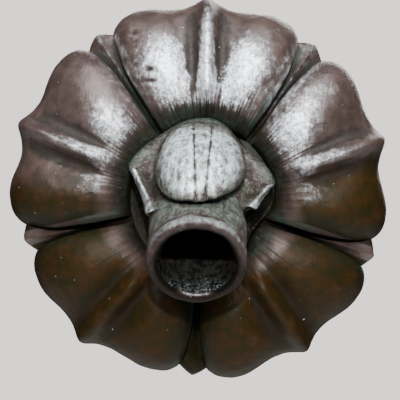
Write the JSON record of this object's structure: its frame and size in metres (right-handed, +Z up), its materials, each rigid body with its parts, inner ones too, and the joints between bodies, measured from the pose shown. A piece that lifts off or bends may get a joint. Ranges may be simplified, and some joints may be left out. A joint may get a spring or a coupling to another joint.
{
  "type": "water spout",
  "caption": "Cast bronze wall spout: a round rosette of two-lobed petals and narrow sepals, with a short pipe drooping from under a domed hood.",
  "frame": {"origin": "middle of the rosette, on the flat back face that lies on the wall", "axes": "+Y into the wall, along the normal of the back face; +Z up; +X to the right as seen from the front; the spout points to -Y and droops to -Z"},
  "size_m": [0.1807, 0.076, 0.1811],
  "materials": {
    "bronze": "dark brown patina on cast bronze, rubbed pale on the high spots, green in the creases and around the pipe"
  },
  "bodies": {
    "root": {"water_spout": "bronze"}
  },
  "joints": []
}
